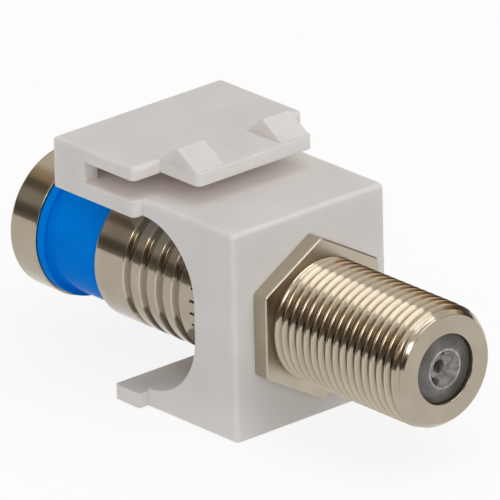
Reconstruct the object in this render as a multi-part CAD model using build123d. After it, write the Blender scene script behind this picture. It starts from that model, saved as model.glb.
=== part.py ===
from build123d import *
import math
import os

# Snap-in coaxial port with a compression cable end, in millimetres.
# Origin: centre of the hex flange's front face, where the port's thread starts.
# The port points along -Y, the cable enters from +Y, and the latch is on top (+Z).

# Threaded port
thread_radius = 4.7625
port_length = 13.36
tip_radius = 4.15
tip_bevel_length = 1.15
tip_bevel_steps = 4
mouth_radius = 2.7
mouth_lip = 0.8
barrel_bore = 3.35

# Hex flange, which stops on the housing's front face
flange_across_flats = 11.11
flange_thickness = 1.36
flange_corner_round = 0.4
flange_edge_break = 0.1

# Grooved body that holds the cable
body_radius = 5.45
body_length = 18.15
plain_band = 3.27
groove_count = 4
groove_pitch = 1.8
groove_width = 0.95
groove_depth = 0.33
groove_slope = 0.28

# Knurl that bites into the housing's bore
knurl_teeth = 36
knurl_height = 0.1
knurl_sink = 0.02
knurl_start = 1.0
knurl_length = 6.35

# Post and the bores that seat it
post_seat = 3.3
post_flange_radius = 4.3
post_flange_thickness = 1.0
post_radius = 2.8
post_bore = 2.4
post_length = 12.0
post_barb_height = 0.3
post_barb_length = 1.1
jacket_bore = 4.62

# Insulators and spring contact
insulator_recess = 0.35
insulator_length = 3.4
insulator_hole = 0.68
hub_radius = 0.95
window_radius = 1.4
window_depth = 0.75
hub_recess = 0.35
rib_width = 0.22
rib_angle = 70.0
guide_ring_width = 0.16
guide_ring_height = 0.3
contact_radius = 1.0
contact_bore = 0.5
contact_stop = 0.8
jaw_length = 3.0
jaw_slot = 0.18
pocket_clearance = 0.03

# Compression ring and end sleeve
travel = 5.6
travel_gap = 0.1
ring_radius = 4.95
ring_running_clearance = 0.05
ring_engagement = 1.0
ring_nose_radius = 4.5
ring_nose_length = 2.4
ring_bore = 4.0
ring_flange_radius = 5.45
ring_flange_thickness = 0.75
sleeve_radius = 5.62
sleeve_length = 3.0
sleeve_lip = 0.9
cable_bore = 4.3
sleeve_rear_bevel = 0.25

# Fits between pieces that never move apart
seat_clearance = 0.02

# Snap-in housing
block_width = 14.94
block_height = 16.56
block_depth = 9.96
front_wall = 4.45
cutout_corner_radius = 5.5
block_edge_round = 0.4
block_face_round = 0.35
deck_thickness = 1.25
floor_thickness = 1.56
arm_width = 16.66
arm_rear = 19.12
arm_edge_round = 0.4
arm_top_round = 0.35
slot_height = 1.64
plate_thickness = 1.02
rear_wall = 1.3
gusset_width = 1.33
gusset_length = 3.6
arm_corner_round = 0.4
tongue_width = 11.24
tongue_front = 5.75
tongue_corner_round = 0.5
barb_width = 2.66
barb_inset = 0.11
barb_front = 6.1
barb_apex = 8.22
barb_height = 1.33
foot_width = 16.6
foot_rear = 12.7
foot_thickness = 1.14
foot_raise = 0.17
foot_corner_round = 0.3

# Places worked out from the sizes above
tip = -port_length
front_face = flange_thickness
body_rear = front_face + body_length
seat_start = front_face + post_seat
post_flange_end = seat_start + post_flange_thickness
ring_flange_front = body_rear + travel + travel_gap
ring_flange_rear = ring_flange_front + ring_flange_thickness
ring_front = body_rear - ring_engagement
ring_counterbore = ring_radius + ring_running_clearance
counterbore_start = ring_front - travel - travel_gap
sleeve_rear = ring_flange_rear + sleeve_length
housing_bore = body_radius + seat_clearance
knurl_radius = body_radius + knurl_height
insulator_radius = barrel_bore - seat_clearance
lip_inner = tip + mouth_lip
insulator_front = tip + insulator_recess
contact_front = lip_inner + contact_stop
contact_rear = seat_start - contact_stop
half_height = block_height / 2
plate_bottom = half_height + slot_height
plate_top = plate_bottom + plate_thickness


def turned(points):
    """Solid of revolution about Y from (radius, y) points."""
    outline = make_face(Polyline(*points, close=True))
    return revolve(outline, Axis.Y, 360)


def prism(outline, start, end):
    """Extrusion along +Y of an outline drawn as (x, z)."""
    return Pos(0, start, 0) * extrude(Plane.XZ * outline, -(end - start))


def side_extrusion(outline, width):
    """Extrusion along X, centred, of an outline drawn as (y, z)."""
    return extrude(Plane.YZ * outline, width / 2, both=True)


def tip_points():
    """Convex bevel that leads from the port's tip face into the thread."""
    points = []
    for i in range(tip_bevel_steps + 1):
        share = i / tip_bevel_steps
        radius = thread_radius - (thread_radius - tip_radius) * (1 - share) ** 2
        points.append((radius, tip + tip_bevel_length * share))
    return points


def groove_points():
    """Outline of the grip grooves, from the front one to the rear one."""
    points = []
    for i in reversed(range(groove_count)):
        rear = body_rear - plain_band - i * groove_pitch
        front = rear - groove_width
        bottom = body_radius - groove_depth
        slopes = [(bottom, front + groove_slope), (bottom, rear - groove_slope)]
        points.extend([(body_radius, front), *slopes, (body_radius, rear)])
    return points


def body_turning():
    """Outside and bores of the one-piece connector body."""
    front = [(mouth_radius, tip)]
    flange_root = [(thread_radius, 0), (body_radius, 0)]
    rear = [
        (body_radius, body_rear),
        (ring_counterbore, body_rear),
        (ring_counterbore, counterbore_start),
        (jacket_bore, counterbore_start),
        (jacket_bore, post_flange_end),
        (post_flange_radius + seat_clearance, post_flange_end),
        (post_flange_radius + seat_clearance, seat_start),
        (barrel_bore, seat_start),
        (barrel_bore, lip_inner),
        (mouth_radius, lip_inner),
    ]
    return turned(front + tip_points() + flange_root + groove_points() + rear)


def hex_flange():
    """Hex left from the bar, vertices up and down, with a through hole."""
    outline = RegularPolygon(flange_across_flats / 2, 6, major_radius=False, rotation=90)
    outline = fillet(outline.vertices(), flange_corner_round)
    flange = prism(outline, 0, flange_thickness)
    flange = chamfer(flange.edges().group_by(Axis.Y)[0], flange_edge_break)
    mid_wall = (barrel_bore + thread_radius) / 2
    return flange - prism(Circle(mid_wall), -flange_thickness, 2 * flange_thickness)


def knurl_band():
    """Straight teeth that key the body in the housing's bore."""
    points = []
    for i in range(knurl_teeth):
        for turn, radius in ((0.0, knurl_radius), (0.5, body_radius - knurl_sink)):
            angle = 2 * math.pi * (i + turn) / knurl_teeth
            points.append((radius * math.cos(angle), radius * math.sin(angle)))
    mid_wall = (jacket_bore + body_radius) / 2
    teeth = make_face(Polyline(*points, close=True)) - Circle(mid_wall)
    start = front_face + knurl_start
    return prism(teeth, start, start + knurl_length)


def make_connector_body():
    return body_turning() + hex_flange() + knurl_band()


def make_front_insulator():
    """Insulator whose nose fills the port's mouth, with two windows beside its sunk hub."""
    pocket = contact_radius + pocket_clearance
    end = lip_inner + insulator_length
    points = [
        (insulator_hole, insulator_front),
        (mouth_radius - seat_clearance, insulator_front),
        (mouth_radius - seat_clearance, lip_inner),
        (insulator_radius, lip_inner),
        (insulator_radius, end),
        (pocket, end),
        (pocket, contact_front),
        (insulator_hole, contact_front),
    ]
    plug = turned(points)
    window = Circle(window_radius) - Circle(hub_radius)
    rib = Rot(0, 0, rib_angle) * Rectangle(window_radius * 3, rib_width)
    plug = plug - prism(window - rib, insulator_front - window_depth, insulator_front + window_depth)
    plug = plug - prism(Circle(hub_radius), insulator_front - hub_recess, insulator_front + hub_recess)
    ring = Circle(window_radius + guide_ring_width) - Circle(window_radius)
    return plug + prism(ring, insulator_front - guide_ring_height, insulator_front + window_depth)


def make_rear_insulator():
    pocket = contact_radius + pocket_clearance
    start = seat_start - insulator_length
    points = [
        (pocket, start),
        (insulator_radius, start),
        (insulator_radius, seat_start),
        (insulator_hole, seat_start),
        (insulator_hole, contact_rear),
        (pocket, contact_rear),
    ]
    return turned(points)


def make_centre_contact():
    """Spring tube with four jaws at each end, which grip the two wires."""
    points = [
        (contact_bore, contact_front),
        (contact_radius, contact_front),
        (contact_radius, contact_rear),
        (contact_bore, contact_rear),
    ]
    contact = turned(points)
    cross = Rectangle(contact_radius * 3, jaw_slot) + Rectangle(jaw_slot, contact_radius * 3)
    contact = contact - prism(cross, contact_front - jaw_length, contact_front + jaw_length)
    return contact - prism(cross, contact_rear - jaw_length, contact_rear + jaw_length)


def make_inner_post():
    """Barbed tube that goes between the cable's core and its braid."""
    end = post_flange_end + post_length
    points = [
        (post_bore, seat_start),
        (post_flange_radius, seat_start),
        (post_flange_radius, post_flange_end),
        (post_radius, post_flange_end),
        (post_radius, end - post_barb_length),
        (post_radius + post_barb_height, end - post_barb_length),
        (post_radius - post_barb_height / 2, end),
        (post_bore, end),
    ]
    return turned(points)


def make_compression_ring():
    """Plastic ring that squeezes the cable's jacket on to the post."""
    spigot_end = sleeve_rear - sleeve_lip
    nose = ring_front - ring_nose_length
    points = [
        (ring_bore, nose),
        ((ring_bore + ring_nose_radius) / 2, nose),
        (ring_nose_radius, nose + ring_nose_length / 2),
        (ring_nose_radius, ring_front),
        (ring_radius, ring_front),
        (ring_radius, ring_flange_front),
        (ring_flange_radius, ring_flange_front),
        (ring_flange_radius, ring_flange_rear),
        (ring_radius, ring_flange_rear),
        (ring_radius, spigot_end),
        (ring_bore, spigot_end),
    ]
    return turned(points)


def make_end_sleeve():
    """Metal cap that the tool pushes, fixed on the ring's rear spigot."""
    inner = ring_radius + seat_clearance
    lip_start = sleeve_rear - sleeve_lip
    points = [
        (inner, ring_flange_rear),
        (sleeve_radius, ring_flange_rear),
        (sleeve_radius, sleeve_rear - sleeve_rear_bevel),
        (sleeve_radius - sleeve_rear_bevel, sleeve_rear),
        (cable_bore, sleeve_rear),
        (cable_bore, lip_start),
        (inner, lip_start),
    ]
    return turned(points)


def housing_block():
    """Front block with its rounded edges."""
    outline = RectangleRounded(block_width, block_height, block_edge_round)
    block = prism(outline, 0, block_depth)
    return fillet(block.edges().group_by(Axis.Y)[0], block_face_round)


def side_cutout():
    """Cut right across the block, with round front corners and open to the rear."""
    height = block_height - floor_thickness - deck_thickness
    length = arm_rear - front_wall + block_depth
    centre = Pos(front_wall + length / 2, (floor_thickness - deck_thickness) / 2)
    outline = centre * Rectangle(length, height)
    outline = fillet(outline.vertices().group_by(Axis.X)[0], cutout_corner_radius)
    return side_extrusion(outline, arm_width * 2)


def latch_arm():
    """Deck, rear wall and plate folded over like a hairpin, with side gussets."""
    length = arm_rear - block_depth
    height = plate_top - half_height + deck_thickness
    centre = Pos(block_depth + length / 2, plate_top - height / 2)
    outline = centre * Rectangle(length, height)
    arm = side_extrusion(outline, arm_width)
    arm = fillet(arm.edges().filter_by(Axis.Z).group_by(Axis.Y)[0], arm_corner_round)
    arm = fillet(arm.edges().filter_by(Axis.Z).group_by(Axis.Y)[-1], arm_edge_round)
    arm = fillet(arm.edges().group_by(Axis.Z)[-1].group_by(Axis.Y)[-1], arm_top_round)
    slot_z = half_height + slot_height / 2
    side_slot = Pos(block_depth, slot_z) * Rectangle(2 * (length - gusset_length), slot_height)
    deep_slot = Pos(block_depth, slot_z) * Rectangle(2 * (length - rear_wall), slot_height)
    arm = arm - side_extrusion(side_slot, arm_width * 2)
    return arm - side_extrusion(deep_slot, arm_width - 2 * gusset_width)


def deck_bridge():
    """Middle of the deck, which joins the wide arm to the block."""
    length = block_depth - tongue_front
    outline = Pos(block_depth, half_height - deck_thickness / 2) * Rectangle(length, deck_thickness)
    return side_extrusion(outline, block_width - 2 * block_edge_round)


def barb(side):
    """Wedge on the tongue that snaps behind the wall plate."""
    points = [
        (barb_front, plate_top - plate_thickness / 2),
        (barb_front, plate_top),
        (barb_apex, plate_top + barb_height),
        (block_depth, plate_top),
        (block_depth, plate_top - plate_thickness / 2),
    ]
    wedge = side_extrusion(make_face(Polyline(*points, close=True)), barb_width)
    return Pos(side * (tongue_width / 2 - barb_inset - barb_width / 2), 0, 0) * wedge


def tongue():
    """Narrow front of the plate, with its two barbs and a channel between them."""
    length = block_depth - tongue_front + gusset_length
    outline = Pos(0, tongue_front + length / 2) * Rectangle(tongue_width, length)
    front = outline.vertices().group_by(Axis.Y)[0]
    outline = fillet(front, tongue_corner_round)
    plate = Pos(0, 0, plate_bottom) * extrude(outline, plate_thickness)
    return plate + barb(-1) + barb(1)


def foot():
    """Wide foot behind the floor, which stops on the back of the wall plate."""
    length = foot_rear - block_depth
    outline = Pos(0, block_depth + length / 2) * Rectangle(foot_width, length)
    outline = fillet(outline.vertices().group_by(Axis.Y)[-1], foot_corner_round)
    return Pos(0, 0, foot_raise - half_height) * extrude(outline, foot_thickness)


def make_housing():
    housing = housing_block() + deck_bridge() - side_cutout()
    housing = housing + latch_arm() + tongue() + foot()
    housing = housing - prism(Circle(housing_bore), -block_depth, block_depth)
    return Pos(0, front_face, 0) * housing


def main():
    parts = {
        "housing": make_housing(),
        "connector_body": make_connector_body(),
        "front_insulator": make_front_insulator(),
        "rear_insulator": make_rear_insulator(),
        "centre_contact": make_centre_contact(),
        "inner_post": make_inner_post(),
        "compression_ring": make_compression_ring(),
        "end_sleeve": make_end_sleeve(),
    }
    os.makedirs("parts", exist_ok=True)
    for name, shape in parts.items():
        export_step(shape, f"parts/{name}.step")
        print(name, round(shape.volume, 2))


main()
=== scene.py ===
import math

import bmesh
import bpy
from mathutils import Matrix, Vector


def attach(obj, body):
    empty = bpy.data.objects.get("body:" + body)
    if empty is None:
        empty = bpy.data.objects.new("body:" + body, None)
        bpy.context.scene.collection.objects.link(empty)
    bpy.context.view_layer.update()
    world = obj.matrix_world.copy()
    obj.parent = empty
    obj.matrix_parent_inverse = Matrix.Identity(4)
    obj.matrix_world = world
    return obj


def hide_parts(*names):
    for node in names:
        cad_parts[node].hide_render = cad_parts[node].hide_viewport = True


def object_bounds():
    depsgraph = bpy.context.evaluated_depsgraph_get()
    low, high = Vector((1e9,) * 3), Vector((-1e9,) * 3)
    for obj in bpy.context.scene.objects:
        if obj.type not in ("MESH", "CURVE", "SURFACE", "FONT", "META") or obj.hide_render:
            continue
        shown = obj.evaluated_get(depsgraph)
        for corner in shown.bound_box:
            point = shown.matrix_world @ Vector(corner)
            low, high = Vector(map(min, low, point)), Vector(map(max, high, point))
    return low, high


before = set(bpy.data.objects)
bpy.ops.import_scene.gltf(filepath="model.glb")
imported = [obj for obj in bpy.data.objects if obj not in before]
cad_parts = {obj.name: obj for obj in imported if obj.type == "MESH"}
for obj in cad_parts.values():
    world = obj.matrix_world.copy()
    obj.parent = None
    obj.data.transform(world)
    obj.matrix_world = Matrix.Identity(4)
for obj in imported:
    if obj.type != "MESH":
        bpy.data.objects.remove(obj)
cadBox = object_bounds()
mm = 0.001
print("frame loaded:", len(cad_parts), "nodes")


def newMaterial(name):
    material = bpy.data.materials.new(name)
    material.use_nodes = True
    tree = material.node_tree
    return material, tree, tree.nodes["Principled BSDF"]


def addNode(tree, kind, inputs=None, **settings):
    node = tree.nodes.new(kind)
    for key, value in settings.items():
        setattr(node, key, value)
    for key, value in (inputs or {}).items():
        if isinstance(value, bpy.types.NodeSocket):
            tree.links.new(value, node.inputs[key])
        else:
            node.inputs[key].default_value = value
    return node


def maths(tree, operation, *values):
    return addNode(tree, "ShaderNodeMath", dict(enumerate(values)), operation=operation).outputs[0]


def mapped(tree, value, source=(0.0, 1.0), target=(0.0, 1.0), **settings):
    # takes a value from one range to another
    return addNode(tree, "ShaderNodeMapRange", {
        "Value": value, "From Min": source[0], "From Max": source[1],
        "To Min": target[0], "To Max": target[1]}, **settings).outputs["Result"]


def mixValues(tree, share, first, second):
    return addNode(tree, "ShaderNodeMix", {0: share, 2: first, 3: second}).outputs[0]


def mixColours(tree, share, first, second):
    return addNode(tree, "ShaderNodeMix", {0: share, 6: first, 7: second}, data_type="RGBA").outputs[2]


def colourRamp(tree, factor, stops):
    ramp = addNode(tree, "ShaderNodeValToRGB", {"Fac": factor})
    elements = ramp.color_ramp.elements
    while len(elements) < len(stops):
        elements.new(0.5)
    for element, (position, colour) in zip(elements, stops):
        element.position = position
        element.color = (*colour, 1)
    return ramp.outputs["Color"]


def objectPattern(tree, stretch=(1, 1, 1)):
    coordinates = addNode(tree, "ShaderNodeTexCoord").outputs["Object"]
    return addNode(tree, "ShaderNodeMapping", {"Vector": coordinates, "Scale": stretch}).outputs["Vector"]


def noise(tree, scale, detail, stretch=(1, 1, 1), twist=0.0):
    return addNode(tree, "ShaderNodeTexNoise", {
        "Vector": objectPattern(tree, stretch), "Scale": scale, "Detail": detail,
        "Distortion": twist}).outputs["Fac"]


def mottle(tree, share, darker, lighter, spread):
    # two colours that blend over the middle of a noise
    return colourRamp(tree, share, [(0.5 - spread, darker), (0.5 + spread, lighter)])


def axisPlace(tree):
    # how far a point lies along the connector's axis, and how far from it
    place = addNode(tree, "ShaderNodeSeparateXYZ", {"Vector": objectPattern(tree)}).outputs
    flat = addNode(tree, "ShaderNodeCombineXYZ", {"X": place["X"], "Z": place["Z"]})
    radius = addNode(tree, "ShaderNodeVectorMath", {0: flat.outputs["Vector"]}, operation="LENGTH")
    return place["Y"], radius.outputs["Value"]


def shaded(tree, colour, level):
    return addNode(tree, "ShaderNodeVectorMath", {0: colour, 3: level}, operation="SCALE").outputs["Vector"]


def setFinish(tree, shader, colour, roughness):
    tree.links.new(colour, shader.inputs["Base Color"])
    tree.links.new(roughness, shader.inputs["Roughness"])


def addBump(tree, shader, height, strength, depth, normal=None):
    # depth is in mm; the bump lies on top of the normal, where one is given
    inputs = {"Strength": strength, "Distance": depth * mm, "Height": height}
    if normal is not None:
        inputs["Normal"] = normal
    bumped = addNode(tree, "ShaderNodeBump", inputs).outputs["Normal"]
    tree.links.new(bumped, shader.inputs["Normal"])
    return bumped


# each noise below is given as (scale, detail), with its stretch and twist where it has them

plasticLook = {
    "colour": (0.665, 0.645, 0.628),
    "darker": (0.625, 0.605, 0.588),
    "spread": 0.2,
    "roughness": (0.36, 0.46),
    "cloud": (260.0, 4.0),
    "grain": (5200.0, 2.0),
    "grainStrength": 0.12,
    "grainDepth": 0.01,  # mm
    "edgeRound": 0.16,  # mm
    # painted light: the pale plastic's colour turns lighter and warmer in its nooks, where shade falls,
    # standing in for light it passes on into them
    "paintedNookLight": (0.88, 0.825, 0.785),
    "paintedNookReach": 4.0,  # mm
    "ior": 1.5,
    "milkiness": 0.5,
    "milkyReach": 1.2,  # mm
    "milkySpread": (1.0, 0.72, 0.6),
}


def mouldedPlastic():
    look = plasticLook
    material, tree, shader = newMaterial("mouldedPlastic")
    cloud = noise(tree, *look["cloud"])
    colour = mottle(tree, cloud, look["darker"], look["colour"], look["spread"])
    # painted light in the nooks: the less open a point, the more of the lighter, warmer colour
    openness = addNode(tree, "ShaderNodeAmbientOcclusion", {"Distance": look["paintedNookReach"] * mm}, samples=8)
    paintedNookLit = mixColours(tree, openness.outputs["AO"], (*look["paintedNookLight"], 1), colour)
    setFinish(tree, shader, paintedNookLit, mapped(tree, cloud, target=look["roughness"]))
    softEdge = addNode(tree, "ShaderNodeBevel", {"Radius": look["edgeRound"] * mm}, samples=6)
    grain = noise(tree, *look["grain"])
    addBump(tree, shader, grain, look["grainStrength"], look["grainDepth"], softEdge.outputs["Normal"])
    shader.inputs["IOR"].default_value = look["ior"]
    shader.inputs["Subsurface Weight"].default_value = look["milkiness"]
    shader.inputs["Subsurface Radius"].default_value = look["milkySpread"]
    shader.inputs["Subsurface Scale"].default_value = look["milkyReach"] * mm
    return material


nickelLooks = {
    # name: (colour, warmer colour, range of roughness, depth of the tool lines in mm)
    "bodyNickel": ((0.44, 0.39, 0.31), (0.40, 0.345, 0.265), (0.07, 0.14), 0.002),
    "knurlNickel": ((0.44, 0.39, 0.31), (0.40, 0.345, 0.265), (0.12, 0.2), 0.002),
    "hexNickel": ((0.53, 0.475, 0.385), (0.48, 0.42, 0.33), (0.24, 0.34), 0.003),
    "sleeveNickel": ((0.41, 0.36, 0.28), (0.385, 0.33, 0.25), (0.08, 0.15), 0.0025),
    "postNickel": ((0.44, 0.39, 0.31), (0.40, 0.345, 0.265), (0.12, 0.2), 0.0025),
    "contactMetal": ((0.55, 0.46, 0.27), (0.5, 0.41, 0.23), (0.14, 0.22), 0.0025),
}

toolMarks = {
    "stain": (420.0, 5.0), "stainSpread": 0.18,
    "lines": (9000.0, 3.0, (0.02, 1, 0.02)), "lineStrength": 0.5,
}

# painted shade and painted highlight on the nickel, by distance from the axis
paintedShadeAndHighlight = {
    # the range of distance from the axis that the levels cover, and the most that a level may be
    "from": 4.2, "to": 5.7, "most": 1.3,
    # it lies between these two places along the axis, in mm
    "tipEnd": -12.8, "rearEnd": 18.8,
    "paintedShadeWarmth": (1.0, 0.94, 0.84, 1),
    # levels of the colour by distance from the axis in mm: below 1 is painted shade, above 1 painted
    # highlight
    "bodyNickel": [
        (4.2, 1.0), (4.33, 0.58), (4.44, 0.7), (4.59, 1.0), (4.75, 1.22), (4.92, 1.0),
        (5.08, 0.5), (5.28, 0.6), (5.37, 1.0), (5.405, 1.3), (5.435, 1.3), (5.447, 0.93), (5.7, 0.93)],
    "knurlNickel": [(4.2, 0.25), (5.46, 0.25), (5.5, 0.4), (5.53, 0.93), (5.7, 0.93)],
}


def paintShadeAndHighlight(tree, tint, levels):
    # painted shade: darker and warmer in roots, grooves and cuts; painted highlight: brighter on crests and
    # lips
    low, high, most = paintedShadeAndHighlight["from"], paintedShadeAndHighlight["to"], paintedShadeAndHighlight["most"]
    lengthways, radius = axisPlace(tree)
    share = mapped(tree, radius, (low * mm, high * mm))
    stops = [((at - low) / (high - low), (amount / most,) * 3) for at, amount in levels]
    level = maths(tree, "MULTIPLY", colourRamp(tree, share, stops), most)
    behindTip = maths(tree, "GREATER_THAN", lengthways, paintedShadeAndHighlight["tipEnd"] * mm)
    beforeRear = maths(tree, "LESS_THAN", lengthways, paintedShadeAndHighlight["rearEnd"] * mm)
    level = mixValues(tree, maths(tree, "MULTIPLY", behindTip, beforeRear), 1.0, level)
    dim = addNode(tree, "ShaderNodeMath", {0: 1.0, 1: level}, operation="SUBTRACT", use_clamp=True).outputs[0]
    warm = addNode(tree, "ShaderNodeGamma", {"Color": paintedShadeAndHighlight["paintedShadeWarmth"], "Gamma": dim}).outputs["Color"]
    toned = addNode(tree, "ShaderNodeVectorMath", {0: tint, 1: warm}, operation="MULTIPLY").outputs["Vector"]
    return shaded(tree, toned, level)


def turnedNickel(name):
    colour, warmer, roughness, lineDepth = nickelLooks[name]
    material, tree, shader = newMaterial(name)
    shader.inputs["Metallic"].default_value = 1.0
    stain = noise(tree, *toolMarks["stain"])
    tint = mottle(tree, stain, warmer, colour, toolMarks["stainSpread"])
    if name in paintedShadeAndHighlight:
        # painted shade in the hollows and painted highlight on the crests and lips
        tint = paintShadeAndHighlight(tree, tint, paintedShadeAndHighlight[name])
    setFinish(tree, shader, tint, mapped(tree, stain, target=roughness))
    addBump(tree, shader, noise(tree, *toolMarks["lines"]), toolMarks["lineStrength"], lineDepth)
    return material


dielectricLook = {
    "reach": 3.0 * mm,  # distance from the axis at which the colours end
    # the lighter band at shares 0.475 to 0.505, on the ring's top, is a painted highlight
    "colours": [(0.0, (0.195, 0.185, 0.17)), (0.45, (0.195, 0.185, 0.17)), (0.475, (0.31, 0.30, 0.285)),
                (0.505, (0.31, 0.30, 0.285)), (0.53, (0.13, 0.125, 0.116)), (1.0, (0.095, 0.091, 0.084))],
    "roughness": (0.16, 0.28),
    "cloud": (900.0, 3.0), "cloudShade": (0.75, 1.2), "cloudStrength": 0.5, "cloudDepth": 0.015,
    # the film round the hole is wrinkled; it fades out between these shares of the reach
    "film": (0.62, 0.45),
    "wrinkle": (1150.0, 2.0, (1, 1, 1), 1.6), "wrinkleRange": (0.36, 0.66), "wrinkleShade": (0.78, 1.6),
    "wrinkleDepth": 0.12,
}


def dielectricPlastic():
    look = dielectricLook
    material, tree, shader = newMaterial("dielectricPlastic")
    share = mapped(tree, axisPlace(tree)[1], (0.0, look["reach"]))
    cloud = noise(tree, *look["cloud"])
    wrinkle = noise(tree, *look["wrinkle"])
    film = mapped(tree, share, look["film"])
    cloudShade = mapped(tree, cloud, target=look["cloudShade"])
    wrinkleShade = mapped(tree, wrinkle, look["wrinkleRange"], look["wrinkleShade"])
    # these colours carry the painted highlight on the ring's top
    tint = colourRamp(tree, share, look["colours"])
    toned = shaded(tree, tint, mixValues(tree, film, cloudShade, wrinkleShade))
    setFinish(tree, shader, toned, mapped(tree, cloud, target=look["roughness"]))
    clouded = addBump(tree, shader, cloud, look["cloudStrength"], look["cloudDepth"])
    addBump(tree, shader, wrinkle, film, look["wrinkleDepth"], clouded)
    return material


blueLook = {
    "deeper": (0.0, 0.187, 0.69), "colour": (0.0, 0.212, 0.77), "spread": 0.2,
    "roughness": (0.16, 0.24), "ior": 1.04,
    "cloud": (300.0, 3.0), "wave": (1500.0, 2.0), "waveStrength": 0.15, "waveDepth": 0.01,
}


def blueGloss():
    look = blueLook
    material, tree, shader = newMaterial("blueGloss")
    cloud = noise(tree, *look["cloud"])
    colour = mottle(tree, cloud, look["deeper"], look["colour"], look["spread"])
    setFinish(tree, shader, colour, mapped(tree, cloud, target=look["roughness"]))
    addBump(tree, shader, noise(tree, *look["wave"]), look["waveStrength"], look["waveDepth"])
    shader.inputs["IOR"].default_value = look["ior"]
    return material


plastic = mouldedPlastic()
bodyNickel = turnedNickel("bodyNickel")
knurlNickel = turnedNickel("knurlNickel")
hexNickel = turnedNickel("hexNickel")
sleeveNickel = turnedNickel("sleeveNickel")
postNickel = turnedNickel("postNickel")
contactMetal = turnedNickel("contactMetal")
dielectric = dielectricPlastic()
blue = blueGloss()
print("materials made")


def meshObject(name, mesh):
    obj = bpy.data.objects.new(name, mesh)
    bpy.context.scene.collection.objects.link(obj)
    return obj


def plainMesh(name, form, material):
    mesh = bpy.data.meshes.new(name)
    form.to_mesh(mesh)
    form.free()
    mesh.materials.append(material)
    return mesh


def closedPiece(name, form, material, sharpAngle, join=0.0001 * mm):
    # joins doubled points, turns the faces outwards and shades smooth up to an angle in degrees
    bmesh.ops.remove_doubles(form, verts=form.verts, dist=join)
    bmesh.ops.recalc_face_normals(form, faces=form.faces)
    openEdges = sum(1 for edge in form.edges if len(edge.link_faces) != 2)
    mesh = plainMesh(name, form, material)
    for polygon in mesh.polygons:
        polygon.use_smooth = True
    mesh.set_sharp_from_angle(angle=math.radians(sharpAngle))
    print(name + ":", len(mesh.polygons), "faces,", openEdges, "open edges")
    return meshObject(name, mesh)


def roundedOutline(points, steps=5, support=0.02, share=0.49):
    # points are (radius, y, corner) in mm; a corner over 0 is rounded to that radius, within a share
    # of its sides, with one more point beside each end of the arc, so that the straight shades flat
    outline = []
    for i, (radius, y, corner) in enumerate(points):
        here = Vector((radius, y))
        if corner <= 0:
            outline.append(here)
            continue
        before = Vector(points[i - 1][:2]) - here
        after = Vector(points[(i + 1) % len(points)][:2]) - here
        half = before.angle(after) / 2
        reach = min(corner / math.tan(half), before.length * share, after.length * share)
        bend = reach * math.tan(half)
        centre = here + (before.normalized() + after.normalized()).normalized() * (bend / math.sin(half))
        first = here + before.normalized() * reach - centre
        last = here + after.normalized() * reach - centre
        turn = first.angle_signed(last)
        if before.length * 0.5 > reach + support:
            outline.append(here + before.normalized() * (reach + support))
        for k in range(steps + 1):
            outline.append(centre + Matrix.Rotation(-turn * k / steps, 2) @ first)
        if after.length * 0.5 > reach + support:
            outline.append(here + after.normalized() * (reach + support))
    return outline


def bridge(form, here, there, closed=True):
    # a band of faces between two rows of points
    for i in range(len(here) if closed else len(here) - 1):
        j = (i + 1) % len(here)
        form.faces.new((here[i], here[j], there[j], there[i]))


def spin(form, outline, segments, closed=True):
    # turns an outline in mm about the connector's axis
    rows = []
    for k in range(segments):
        angle = 2 * math.pi * k / segments
        across, up = math.sin(angle) * mm, math.cos(angle) * mm
        rows.append([form.verts.new((p.x * across, p.y * mm, p.x * up)) for p in outline])
    for here, there in zip(rows, rows[1:] + rows[:1]):
        bridge(form, here, there, closed)


def turnedPiece(name, points, material, segments=160, sharpAngle=35):
    form = bmesh.new()
    spin(form, roundedOutline(points), segments)
    return closedPiece(name, form, material, sharpAngle)


def newTree(name, sizes):
    # one named input for each size, and one for the material
    tree = bpy.data.node_groups.new(name, "GeometryNodeTree")
    for label, value in sizes.items():
        kind = "NodeSocketInt" if isinstance(value, int) else "NodeSocketFloat"
        tree.interface.new_socket(label, in_out="INPUT", socket_type=kind).default_value = value
    tree.interface.new_socket("Material", in_out="INPUT", socket_type="NodeSocketMaterial")
    tree.interface.new_socket("Geometry", in_out="OUTPUT", socket_type="NodeSocketGeometry")
    return tree, tree.nodes.new("NodeGroupInput").outputs, tree.nodes.new("NodeGroupOutput").inputs


def gridPlace(tree):
    position = addNode(tree, "GeometryNodeInputPosition").outputs[0]
    return addNode(tree, "ShaderNodeSeparateXYZ", {"Vector": position}).outputs


def windRound(tree, source, result, strip, radius, lengthways, angle):
    # puts the strip's points round the axis, and joins its ends
    position = addNode(tree, "ShaderNodeCombineXYZ", {
        "X": maths(tree, "MULTIPLY", radius, maths(tree, "SINE", angle)),
        "Y": lengthways,
        "Z": maths(tree, "MULTIPLY", radius, maths(tree, "COSINE", angle))})
    wound = addNode(tree, "GeometryNodeSetPosition", {
        "Geometry": strip.outputs["Mesh"], "Position": position.outputs["Vector"]})
    joined = addNode(tree, "GeometryNodeMergeByDistance", {
        "Geometry": wound.outputs["Geometry"], "Distance": source["Join"]})
    realized = addNode(tree, "GeometryNodeRealizeInstances", {"Geometry": joined.outputs["Geometry"]})
    painted = addNode(tree, "GeometryNodeSetMaterial", {
        "Geometry": realized.outputs["Geometry"], "Material": source["Material"]})
    tree.links.new(painted.outputs["Geometry"], result["Geometry"])


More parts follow.
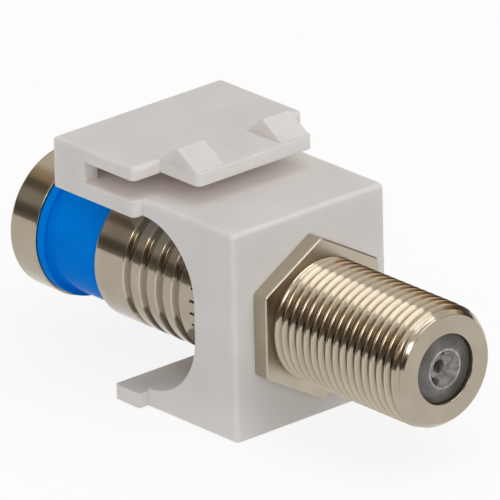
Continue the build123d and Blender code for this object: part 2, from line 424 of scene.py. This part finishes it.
def bakedForm(tree, sizes, material):
    # runs a geometry tree with these sizes and hands back what it makes
    values = {**sizes, "Material": material}
    seed = meshObject(tree.name + "Seed", bpy.data.meshes.new(tree.name + "Seed"))
    modifier = seed.modifiers.new(tree.name, "NODES")
    modifier.node_group = tree
    for item in tree.interface.items_tree:
        if item.item_type == "SOCKET" and item.in_out == "INPUT":
            modifier[item.identifier] = values[item.name]
    bpy.context.view_layer.update()
    evaluated = seed.evaluated_get(bpy.context.evaluated_depsgraph_get())
    mesh = bpy.data.meshes.new_from_object(evaluated)
    form = bmesh.new()
    form.from_mesh(mesh)
    bpy.data.objects.remove(seed)
    bpy.data.meshes.remove(mesh)
    return form


nudge = 0.00001  # keeps a whole turn from falling just short of its start

portSizes = {
    "Major Radius": 4.7625 * mm,
    "Thread Depth": 0.44 * mm,
    "Pitch": 0.79375 * mm,
    "Tip": -13.3 * mm,
    "Root": 0.0,
    "Tip Radius": 4.2 * mm,
    "Bevel Length": 1.15 * mm,
    "Runout": 0.5 * mm,
    "Turns": 18,
    "Segments": 144,
    "Rows": 26,
    # the flank's ends as shares of the pitch, from the root's middle, and how soft its corners are
    "Flank Start": 0.05,
    "Flank End": 0.44,
    "Crest Round": 0.2,
    "Root Round": 0.1,
    "Join": 0.0015 * mm,
}


def threadTree():
    # a strip as long as all the turns, and as wide as one pitch from root over crest to root
    tree, source, result = newTree("threadTree", portSizes)
    along = maths(tree, "ADD", maths(tree, "MULTIPLY", source["Turns"], source["Segments"]), 1.0)
    across = maths(tree, "ADD", source["Rows"], 1.0)
    strip = addNode(tree, "GeometryNodeMeshGrid", {
        "Size X": source["Turns"], "Size Y": 1.0, "Vertices X": along, "Vertices Y": across})
    place = gridPlace(tree)
    turn = maths(tree, "ADD", place["X"], maths(tree, "MULTIPLY", source["Turns"], 0.5))
    phase = maths(tree, "ADD", place["Y"], 0.5)
    angle = maths(tree, "MULTIPLY", maths(tree, "FRACT", maths(tree, "ADD", turn, nudge)), 2 * math.pi)
    pitches = maths(tree, "SUBTRACT", maths(tree, "ADD", turn, phase), 1.0)
    lengthways = maths(tree, "ADD", source["Tip"], maths(tree, "MULTIPLY", pitches, source["Pitch"]))
    lengthways = maths(tree, "MAXIMUM", maths(tree, "MINIMUM", lengthways, source["Root"]), source["Tip"])
    swing = maths(tree, "ABSOLUTE", maths(tree, "SUBTRACT", phase, 0.5))  # 0 in the root, 0.5 on the crest
    flank = mapped(tree, swing, (source["Flank Start"], source["Flank End"]), clamp=False)
    flank = maths(tree, "SMOOTH_MIN", flank, 1.0, source["Crest Round"])
    flank = maths(tree, "MAXIMUM", maths(tree, "SMOOTH_MAX", flank, 0.0, source["Root Round"]), 0.0)
    # the thread runs out to full size at the flange
    fromFlange = maths(tree, "SUBTRACT", source["Root"], lengthways)
    runoutShare = maths(tree, "DIVIDE", fromFlange, source["Runout"])
    fade = mapped(tree, runoutShare, target=(1.0, 0.0), interpolation_type="SMOOTHSTEP")
    cut = maths(tree, "SUBTRACT", 1.0, maths(tree, "MAXIMUM", flank, fade))
    threadRadius = maths(tree, "SUBTRACT", source["Major Radius"], maths(
        tree, "MULTIPLY", source["Thread Depth"], cut))
    # and the tip's bevel cuts it down
    fromTip = maths(tree, "SUBTRACT", lengthways, source["Tip"])
    bevelShare = maths(tree, "MINIMUM", maths(tree, "DIVIDE", fromTip, source["Bevel Length"]), 1.0)
    drop = maths(tree, "POWER", maths(tree, "SUBTRACT", 1.0, bevelShare), 2.0)
    bevelDepth = maths(tree, "SUBTRACT", source["Major Radius"], source["Tip Radius"])
    bevelRadius = maths(tree, "SUBTRACT", source["Major Radius"], maths(tree, "MULTIPLY", bevelDepth, drop))
    radius = maths(tree, "MINIMUM", threadRadius, bevelRadius)
    windRound(tree, source, result, strip, radius, lengthways, angle)
    return tree


threadForm = bakedForm(threadTree(), portSizes, bodyNickel)
print("thread wound:", len(threadForm.faces), "faces")

barrelSizes = {
    "neck": 0.25, "tipFace": -13.36, "tipEdge": 0.06,
    # the tip's rounded edge, as shares of tipEdge inwards and forwards
    "tipCurve": [(0.0, 0.0), (0.3, 0.6), (0.9, 1.0), (1.6, 1.0)],
    "mouthRadius": 2.7, "mouthEdge": 0.04, "mouthLip": 0.8, "bore": 3.35, "boreEnd": 4.66,
    "postSeat": 4.32, "postSeatEnd": 5.66, "jacketBore": 4.62,
    "ringBore": 5.0, "ringBoreStart": 12.81, "rear": 19.51, "radius": 5.45, "rearEdge": 0.2,
    "grooveCount": 4, "groovePitch": 1.8, "grooveWidth": 0.95, "grooveDepth": 0.33, "grooveSlope": 0.28,
    "grooveLip": 0.09, "grooveRoot": 0.14, "plainBand": 3.27,
    "knurlSeat": 5.4, "knurlSeatStart": 2.42, "knurlSeatEnd": 8.65,
    "join": 0.002,
}


def grooveOutline():
    # from the rearmost groove to the first one
    barrel = barrelSizes
    radius, slope = barrel["radius"], barrel["grooveSlope"]
    bottom, lip, root = radius - barrel["grooveDepth"], barrel["grooveLip"], barrel["grooveRoot"]
    points = []
    for i in range(barrel["grooveCount"]):
        rear = barrel["rear"] - barrel["plainBand"] - i * barrel["groovePitch"]
        front = rear - barrel["grooveWidth"]
        points += [
            (radius, rear, lip), (bottom, rear - slope, root),
            (bottom, front + slope, root), (radius, front, lip)]
    return points


def bodyOutline():
    # from the tip of the thread, through the bores to the rear, and over the grooves back to the flange
    port, barrel = portSizes, barrelSizes
    tip, tipRadius, major = port["Tip"] / mm, port["Tip Radius"] / mm, port["Major Radius"] / mm
    face, edge = barrel["tipFace"], barrel["tipEdge"]
    mouth, mouthEdge, mouthEnd = barrel["mouthRadius"], barrel["mouthEdge"], face + barrel["mouthLip"]
    points = [(tipRadius - inward * edge, tip - forward * edge, 0) for inward, forward in barrel["tipCurve"]]
    points += [
        (mouth + mouthEdge * 2, face, 0), (mouth + mouthEdge, face, 0),
        (mouth, face + mouthEdge, 0), (mouth, face + mouthEdge * 2, 0),
        (mouth, mouthEnd, 0), (barrel["bore"], mouthEnd, 0),
        (barrel["bore"], barrel["boreEnd"], 0), (barrel["postSeat"], barrel["boreEnd"], 0),
        (barrel["postSeat"], barrel["postSeatEnd"], 0), (barrel["jacketBore"], barrel["postSeatEnd"], 0),
        (barrel["jacketBore"], barrel["ringBoreStart"], 0), (barrel["ringBore"], barrel["ringBoreStart"], 0),
        (barrel["ringBore"], barrel["rear"], 0), (barrel["radius"], barrel["rear"], barrel["rearEdge"])]
    points += grooveOutline()
    points += [
        (barrel["radius"], barrel["knurlSeatEnd"], 0), (barrel["knurlSeat"], barrel["knurlSeatEnd"], 0),
        (barrel["knurlSeat"], barrel["knurlSeatStart"], 0), (barrel["radius"], barrel["knurlSeatStart"], 0),
        (barrel["radius"], barrel["neck"], 0), (major, barrel["neck"], 0), (major, 0, 0)]
    return roundedOutline(points)


def connectorBody():
    spin(threadForm, bodyOutline(), portSizes["Segments"], closed=False)
    return closedPiece("connectorBody", threadForm, bodyNickel, sharpAngle=55, join=barrelSizes["join"] * mm)


body = connectorBody()

hexSizes = {
    "acrossFlats": 11.11, "thickness": 1.36, "corner": 0.4, "cornerSteps": 6, "edge": 0.1, "hole": 4.2}


def hexFlange():
    sizes = hexSizes
    corner = sizes["acrossFlats"] / 2 / math.cos(math.pi / 6)
    points = []
    for k in range(6):
        angle = math.pi / 2 + k * math.pi / 3
        points.append((corner * math.cos(angle), corner * math.sin(angle), sizes["corner"]))
    outline = roundedOutline(points, sizes["cornerSteps"])
    form = bmesh.new()
    rows = []
    # from the round hole at the front over the hex outline to the hole at the back
    for y, inset in ((0, None), (0, sizes["edge"]), (sizes["edge"], 0), (sizes["thickness"], 0),
                     (sizes["thickness"], None)):
        row = []
        for p in outline:
            reach = sizes["hole"] if inset is None else p.length - inset
            row.append(form.verts.new((p.x / p.length * reach * mm, y * mm, p.y / p.length * reach * mm)))
        rows.append(row)
    for here, there in zip(rows, rows[1:] + rows[:1]):
        bridge(form, here, there)
    return closedPiece("hexFlange", form, hexNickel, sharpAngle=30)


flange = hexFlange()

knurlSizes = {
    "Teeth": 36,
    "Samples": 8,
    "Valley Radius": 5.43 * mm,
    "Tooth Height": 0.12 * mm,
    "Sink": 0.15 * mm,
    "Start": 2.36 * mm,
    "Length": 6.35 * mm,
    "End Slope": 0.05 * mm,
    "Cut Share": 0.125,
    "Join": 0.001 * mm,
}


def knurlTree():
    # a band that closes on itself; its rows are 0 inside the body at the front, 1 at the foot of the teeth,
    # 2 on their crests, 3 to 5 the same from the rear end, and 6 on row 0 again
    tree, source, result = newTree("knurlTree", knurlSizes)
    rows = 6
    around = maths(tree, "ADD", maths(tree, "MULTIPLY", source["Teeth"], source["Samples"]), 1.0)
    strip = addNode(tree, "GeometryNodeMeshGrid", {
        "Size X": 1.0, "Size Y": float(rows), "Vertices X": around, "Vertices Y": rows + 1})
    place = gridPlace(tree)
    turn = maths(tree, "FRACT", maths(tree, "ADD", place["X"], 0.5 + nudge))
    row = maths(tree, "ADD", place["Y"], rows / 2)
    fromMiddle = maths(tree, "ABSOLUTE", maths(tree, "SUBTRACT", row, 2.5))
    onCrest = maths(tree, "LESS_THAN", fromMiddle, 1.0)
    inside = maths(tree, "GREATER_THAN", fromMiddle, 2.0)
    atRear = maths(tree, "LESS_THAN", maths(tree, "ABSOLUTE", maths(tree, "SUBTRACT", row, 4.0)), 1.5)
    # flat teeth with a narrow cut between each two, where the solid has its valleys
    withinTooth = maths(tree, "FRACT", maths(tree, "MULTIPLY", turn, source["Teeth"]))
    fromCut = maths(tree, "ABSOLUTE", maths(tree, "SUBTRACT", withinTooth, 0.5))
    wave = maths(tree, "MINIMUM", maths(tree, "DIVIDE", fromCut, source["Cut Share"]), 1.0)
    radius = maths(tree, "ADD", source["Valley Radius"], maths(
        tree, "MULTIPLY", onCrest, maths(tree, "MULTIPLY", source["Tooth Height"], wave)))
    radius = maths(tree, "SUBTRACT", radius, maths(tree, "MULTIPLY", inside, source["Sink"]))
    # the crests start a little behind the front end and stop as far before the rear one
    towardsMiddle = maths(tree, "SUBTRACT", 1.0, maths(tree, "MULTIPLY", atRear, 2.0))
    slope = maths(tree, "MULTIPLY", onCrest, maths(tree, "MULTIPLY", source["End Slope"], towardsMiddle))
    lengthways = maths(tree, "ADD", maths(tree, "ADD", source["Start"], slope), maths(
        tree, "MULTIPLY", atRear, source["Length"]))
    angle = maths(tree, "MULTIPLY", turn, 2 * math.pi)
    windRound(tree, source, result, strip, radius, lengthways, angle)
    return tree


knurlForm = bakedForm(knurlTree(), knurlSizes, knurlNickel)
knurl = closedPiece("bodyKnurl", knurlForm, knurlNickel, sharpAngle=20)

insulatorSizes = {
    "hole": 0.5, "holeEdge": 0.58, "contactFront": -11.76, "pocket": 1.03, "hub": 0.95, "hubFace": -12.66,
    "windowFloor": -12.26, "ribTop": -13.01, "ribAngle": 72.0, "ribWidth": 0.22, "ribSteps": 4,
    "ringInner": 1.4, "funnelTop": -12.98, "ringOuter": 1.52, "ringTop": -13.31, "edge": 0.04, "face": -13.01,
    "noseRadius": 2.68, "shoulder": -12.56, "bodyRadius": 3.33, "rear": -9.16, "windowSteps": 64,
}


def insulatorOutline(sizes, sector):
    # the same outline all round, apart from what lies between the hub and the ring
    e, hub, hubFace, nose = sizes["edge"], sizes["hub"], sizes["hubFace"], sizes["noseRadius"]
    inner, outer, ringTop = sizes["ringInner"], sizes["ringOuter"], sizes["ringTop"]
    dips = {
        "rib": [(hub, sizes["ribTop"] + e), (hub + e, sizes["ribTop"]), (inner, sizes["ribTop"])],
        "pocket": [(hub, hubFace + e), (hub, sizes["windowFloor"]), (inner, sizes["windowFloor"])],
        "funnel": [(hub, hubFace), (hub + e, hubFace - e), (inner, sizes["funnelTop"])]}
    return [
        (sizes["hole"], sizes["contactFront"]), (sizes["hole"], hubFace + 2 * e),
        (sizes["holeEdge"], hubFace), (hub - e, hubFace), *dips[sector],
        (inner, ringTop + e), (inner + e * 0.3, ringTop + e * 0.3), (inner + e, ringTop),
        (outer - e, ringTop), (outer, ringTop + e * 0.6), (outer + e, ringTop + e * 1.6),
        (nose - e, sizes["face"]), (nose, sizes["face"] + e), (nose, sizes["shoulder"]),
        (sizes["bodyRadius"], sizes["shoulder"]), (sizes["bodyRadius"], sizes["rear"]),
        (sizes["pocket"], sizes["rear"]), (sizes["pocket"], sizes["contactFront"])]


def frontInsulator():
    sizes = insulatorSizes
    half = math.degrees(math.asin(sizes["ribWidth"] / (sizes["hub"] + sizes["ringInner"])))
    form = bmesh.new()
    columns = []
    for side, window in ((0, "pocket"), (180, "funnel")):
        centre = sizes["ribAngle"] + side
        for first, last, sector, steps in (
                (centre - half, centre + half, "rib", sizes["ribSteps"]),
                (centre + half, centre + 180 - half, window, sizes["windowSteps"])):
            outline = insulatorOutline(sizes, sector)
            for k in range(steps + 1):
                angle = math.radians(first + (last - first) * k / steps)
                across, up = math.cos(angle) * mm, math.sin(angle) * mm
                columns.append([
                    form.verts.new((radius * across, y * mm, radius * up)) for radius, y in outline])
    for here, there in zip(columns, columns[1:] + columns[:1]):
        bridge(form, here, there)
    return closedPiece("frontInsulator", form, dielectric, sharpAngle=35)


insulator = frontInsulator()

ringSizes = {
    "nose": 16.11, "noseTaper": 1.2, "front": 18.51,
    "flangeFront": 25.21, "flangeRear": 25.96, "spigotEnd": 28.06,
    "radius": 4.95, "noseRadius": 4.5, "bore": 4.0, "flangeRadius": 5.45,
    "crisp": 0.05, "soft": 0.1, "taperRound": 0.2, "flangeRoot": 0.15, "flangeEdge": 0.12,
}


def compressionRing():
    sizes = ringSizes
    bore, nose, noseRadius, radius = sizes["bore"], sizes["nose"], sizes["noseRadius"], sizes["radius"]
    flangeFront, flangeRear, flangeRadius = sizes["flangeFront"], sizes["flangeRear"], sizes["flangeRadius"]
    return turnedPiece("compressionRing", [
        (bore, nose, sizes["soft"]), ((bore + noseRadius) / 2, nose, sizes["crisp"]),
        (noseRadius, nose + sizes["noseTaper"], sizes["taperRound"]),
        (noseRadius, sizes["front"], sizes["crisp"]), (radius, sizes["front"], sizes["soft"]),
        (radius, flangeFront, sizes["flangeRoot"]),
        (flangeRadius, flangeFront, sizes["flangeEdge"]), (flangeRadius, flangeRear, sizes["crisp"]),
        (radius, flangeRear, 0), (radius, sizes["spigotEnd"], 0), (bore, sizes["spigotEnd"], 0)], blue)


ring = compressionRing()

sleeveSizes = {
    "front": 25.96, "rear": 28.96, "radius": 5.62, "inner": 4.97, "lip": 0.9, "bore": 4.3,
    "frontEdge": 0.1, "rearEdge": 0.3, "boreEdge": 0.15,
}


def endSleeve():
    sizes = sleeveSizes
    inner, radius, bore, rear = sizes["inner"], sizes["radius"], sizes["bore"], sizes["rear"]
    lipFront = rear - sizes["lip"]
    return turnedPiece("endSleeve", [
        (inner, sizes["front"], 0), (radius, sizes["front"], sizes["frontEdge"]),
        (radius, rear, sizes["rearEdge"]), (bore, rear, sizes["boreEdge"]),
        (bore, lipFront, 0), (inner, lipFront, 0)], sleeveNickel)


sleeve = endSleeve()
print("turned pieces made")

for piece, node, bodyName, slot in (
        (body, "connector_body", "port", "body_nickel"),
        (flange, "connector_body", "port", "body_nickel"),
        (knurl, "connector_body", "port", "body_nickel"),
        (insulator, "front_insulator", "port", "insulator_plastic"),
        (ring, "compression_ring", "cable_clamp", "ring_plastic"),
        (sleeve, "end_sleeve", "cable_clamp", "sleeve_nickel")):
    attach(piece, bodyName)
    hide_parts(node)

for node, material in (
        ("housing", plastic), ("rear_insulator", dielectric),
        ("centre_contact", contactMetal), ("inner_post", postNickel)):
    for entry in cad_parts[node].material_slots:
        entry.material = material


studio = {
    "floorSize": 6.0, "floorColour": (0.95, 0.95, 0.95), "floorRoughness": 0.8, "floorGloss": 0.1,
    "floorWhite": 0.85,  # share of plain white in what the camera and reflections see of it
    "world": 0.58,  # strength of the world's light on the object
}

lamps = {
    # name: (place in metres, size in metres, power, whether reflections show it)
    "overheadSoftbox": ((0.0, -0.3, 1.1), (0.9, 0.6), 3.1, True),
    "frontSoftbox": ((0.3, -0.9, 0.66), (0.9, 0.5), 0.9, False),
    "sparkSoftbox": ((0.29, -0.87, 0.638), (0.56, 0.48), 1.05, True),
    "fillSoftbox": ((-0.74, -0.84, 0.68), (0.48, 0.34), 2.0, True),
}

room = {
    # the room as the metal shows it, on a round wall, in metres
    "radius": 1.6, "height": 2.2, "sides": 48, "overFloor": 0.002, "gain": 1.5,
    # the left wall's colours take over towards the left and the rear
    "leftward": (0.12, -0.35), "rearward": (-0.5, 0.0),
    # (height, colour) up the wall
    "left": [
        (0.0, (0.28, 0.26, 0.23)), (0.22, (0.12, 0.105, 0.09)), (0.38, (0.16, 0.145, 0.125)),
        (0.54, (0.42, 0.40, 0.37)), (0.84, (0.42, 0.40, 0.37)), (1.02, (0.18, 0.165, 0.14)),
        (1.22, (0.17, 0.145, 0.115)), (1.34, (0.5, 0.37, 0.27)), (1.54, (0.62, 0.48, 0.38)),
        (1.7, (0.85, 0.81, 0.76))],
    "front": [
        (0.0, (0.16, 0.145, 0.13)), (0.3, (0.10, 0.085, 0.075)), (0.47, (0.14, 0.11, 0.085)),
        (0.58, (0.42, 0.27, 0.15)), (0.74, (0.58, 0.39, 0.24)), (0.80, (0.85, 0.68, 0.53)),
        (0.86, (0.98, 0.91, 0.84)), (1.2, (1.0, 0.95, 0.9)), (1.6, (0.9, 0.87, 0.84))],
}


def seenRays(tree):
    # 1 for the rays that show the backdrop: the camera's, and those off gloss and through glass
    path = addNode(tree, "ShaderNodeLightPath").outputs
    seen = maths(tree, "MAXIMUM", path["Is Camera Ray"], path["Is Glossy Ray"])
    return maths(tree, "MAXIMUM", seen, path["Is Transmission Ray"])


def floorPlane():
    form = bmesh.new()
    bmesh.ops.create_grid(form, x_segments=1, y_segments=1, size=studio["floorSize"] / 2,
                          matrix=Matrix.Translation((0, 0, cadBox[0][2])))
    material, tree, shader = newMaterial("paleFloor")
    shader.inputs["Base Color"].default_value = (*studio["floorColour"], 1)
    shader.inputs["Roughness"].default_value = studio["floorRoughness"]
    shader.inputs["Specular IOR Level"].default_value = studio["floorGloss"]
    white = addNode(tree, "ShaderNodeEmission")
    mix = addNode(tree, "ShaderNodeMixShader", {
        "Fac": maths(tree, "MULTIPLY", seenRays(tree), studio["floorWhite"]),
        1: shader.outputs["BSDF"], 2: white.outputs["Emission"]})
    tree.links.new(mix.outputs["Shader"], tree.nodes["Material Output"].inputs["Surface"])
    meshObject("floor", plainMesh("floor", form, material))


def roomGlow():
    material, tree, shader = newMaterial("roomGlow")
    tree.nodes.remove(shader)
    place = addNode(tree, "ShaderNodeSeparateXYZ", {"Vector": objectPattern(tree)}).outputs
    height = mapped(tree, place["Z"], (0.0, room["height"]))
    sides = []
    for side in ("front", "left"):
        sides.append(colourRamp(tree, height, [
            (z / room["height"], [c / room["gain"] for c in colour]) for z, colour in room[side]]))
    leftward = mapped(tree, place["X"], room["leftward"], interpolation_type="SMOOTHSTEP")
    rearward = mapped(tree, place["Y"], room["rearward"], interpolation_type="SMOOTHSTEP")
    colour = mixColours(tree, maths(tree, "MULTIPLY", leftward, rearward), *sides)
    glow = addNode(tree, "ShaderNodeEmission", {"Color": colour, "Strength": room["gain"]})
    tree.links.new(glow.outputs["Emission"], tree.nodes["Material Output"].inputs["Surface"])
    return material


def roomWall():
    # a wall that only reflections see
    form = bmesh.new()
    radius, foot = room["radius"], cadBox[0][2] + room["overFloor"]
    low, high = [], []
    for k in range(room["sides"]):
        angle = 2 * math.pi * k / room["sides"]
        x, y = radius * math.cos(angle), radius * math.sin(angle)
        low.append(form.verts.new((x, y, foot)))
        high.append(form.verts.new((x, y, room["height"])))
    bridge(form, low, high)
    wall = meshObject("roomWall", plainMesh("roomWall", form, roomGlow()))
    wall.visible_camera = False
    wall.visible_diffuse = False
    wall.visible_shadow = False


def softbox(name):
    place, size, power, inReflections = lamps[name]
    light = bpy.data.lights.new(name, "AREA")
    light.shape = "RECTANGLE"
    light.size, light.size_y = size
    light.energy = power
    obj = bpy.data.objects.new(name, light)
    bpy.context.scene.collection.objects.link(obj)
    obj.location = place
    obj.rotation_euler = (-Vector(place)).to_track_quat("-Z", "Y").to_euler()
    obj.visible_glossy = inReflections


def paleWorld():
    world = bpy.data.worlds.new("paleWorld")
    bpy.context.scene.world = world
    world.use_nodes = True
    tree = world.node_tree
    background = tree.nodes["Background"]
    background.inputs["Color"].default_value = (1, 1, 1, 1)
    strength = mapped(tree, seenRays(tree), target=(studio["world"], 1.0))
    tree.links.new(strength, background.inputs["Strength"])


cameraView = {
    # angles in radians, lengths in mm, the frame in pixels
    "heading": 0.7156911, "lookDown": 0.3891796, "roll": -0.0230285, "distance": 928.1335,
    "pixelsPerMm": 13.604407, "shiftRight": -4.476806, "shiftUp": 4.683329, "aimY": 1.36,
    "frame": 500, "sensor": 36.0,
    "clip": (0.05, 20),  # metres
}


def photoCamera():
    view = cameraView
    turn, down, roll = view["heading"], view["lookDown"], view["roll"]
    ahead = Vector((math.sin(turn) * math.cos(down), math.cos(turn) * math.cos(down), -math.sin(down)))
    level = Vector((math.cos(turn), -math.sin(turn), 0))
    upright = level.cross(ahead)
    right = math.cos(roll) * level + math.sin(roll) * upright
    up = math.cos(roll) * upright - math.sin(roll) * level
    place = Vector((0, view["aimY"], 0)) - ahead * view["distance"]
    place += right * view["shiftRight"] + up * view["shiftUp"]
    data = bpy.data.cameras.new("photoCamera")
    data.sensor_width = view["sensor"]
    data.lens = view["pixelsPerMm"] * view["distance"] / view["frame"] * view["sensor"]
    data.clip_start, data.clip_end = view["clip"]
    camera = bpy.data.objects.new("photoCamera", data)
    bpy.context.scene.collection.objects.link(camera)
    basis = Matrix((right, up, -ahead)).transposed().to_4x4()
    camera.matrix_world = Matrix.Translation(place * mm) @ basis
    bpy.context.scene.camera = camera


floorPlane()
roomWall()
paleWorld()
for lamp in lamps:
    softbox(lamp)
photoCamera()
bpy.context.scene.view_settings.view_transform = "Standard"
print("studio set")
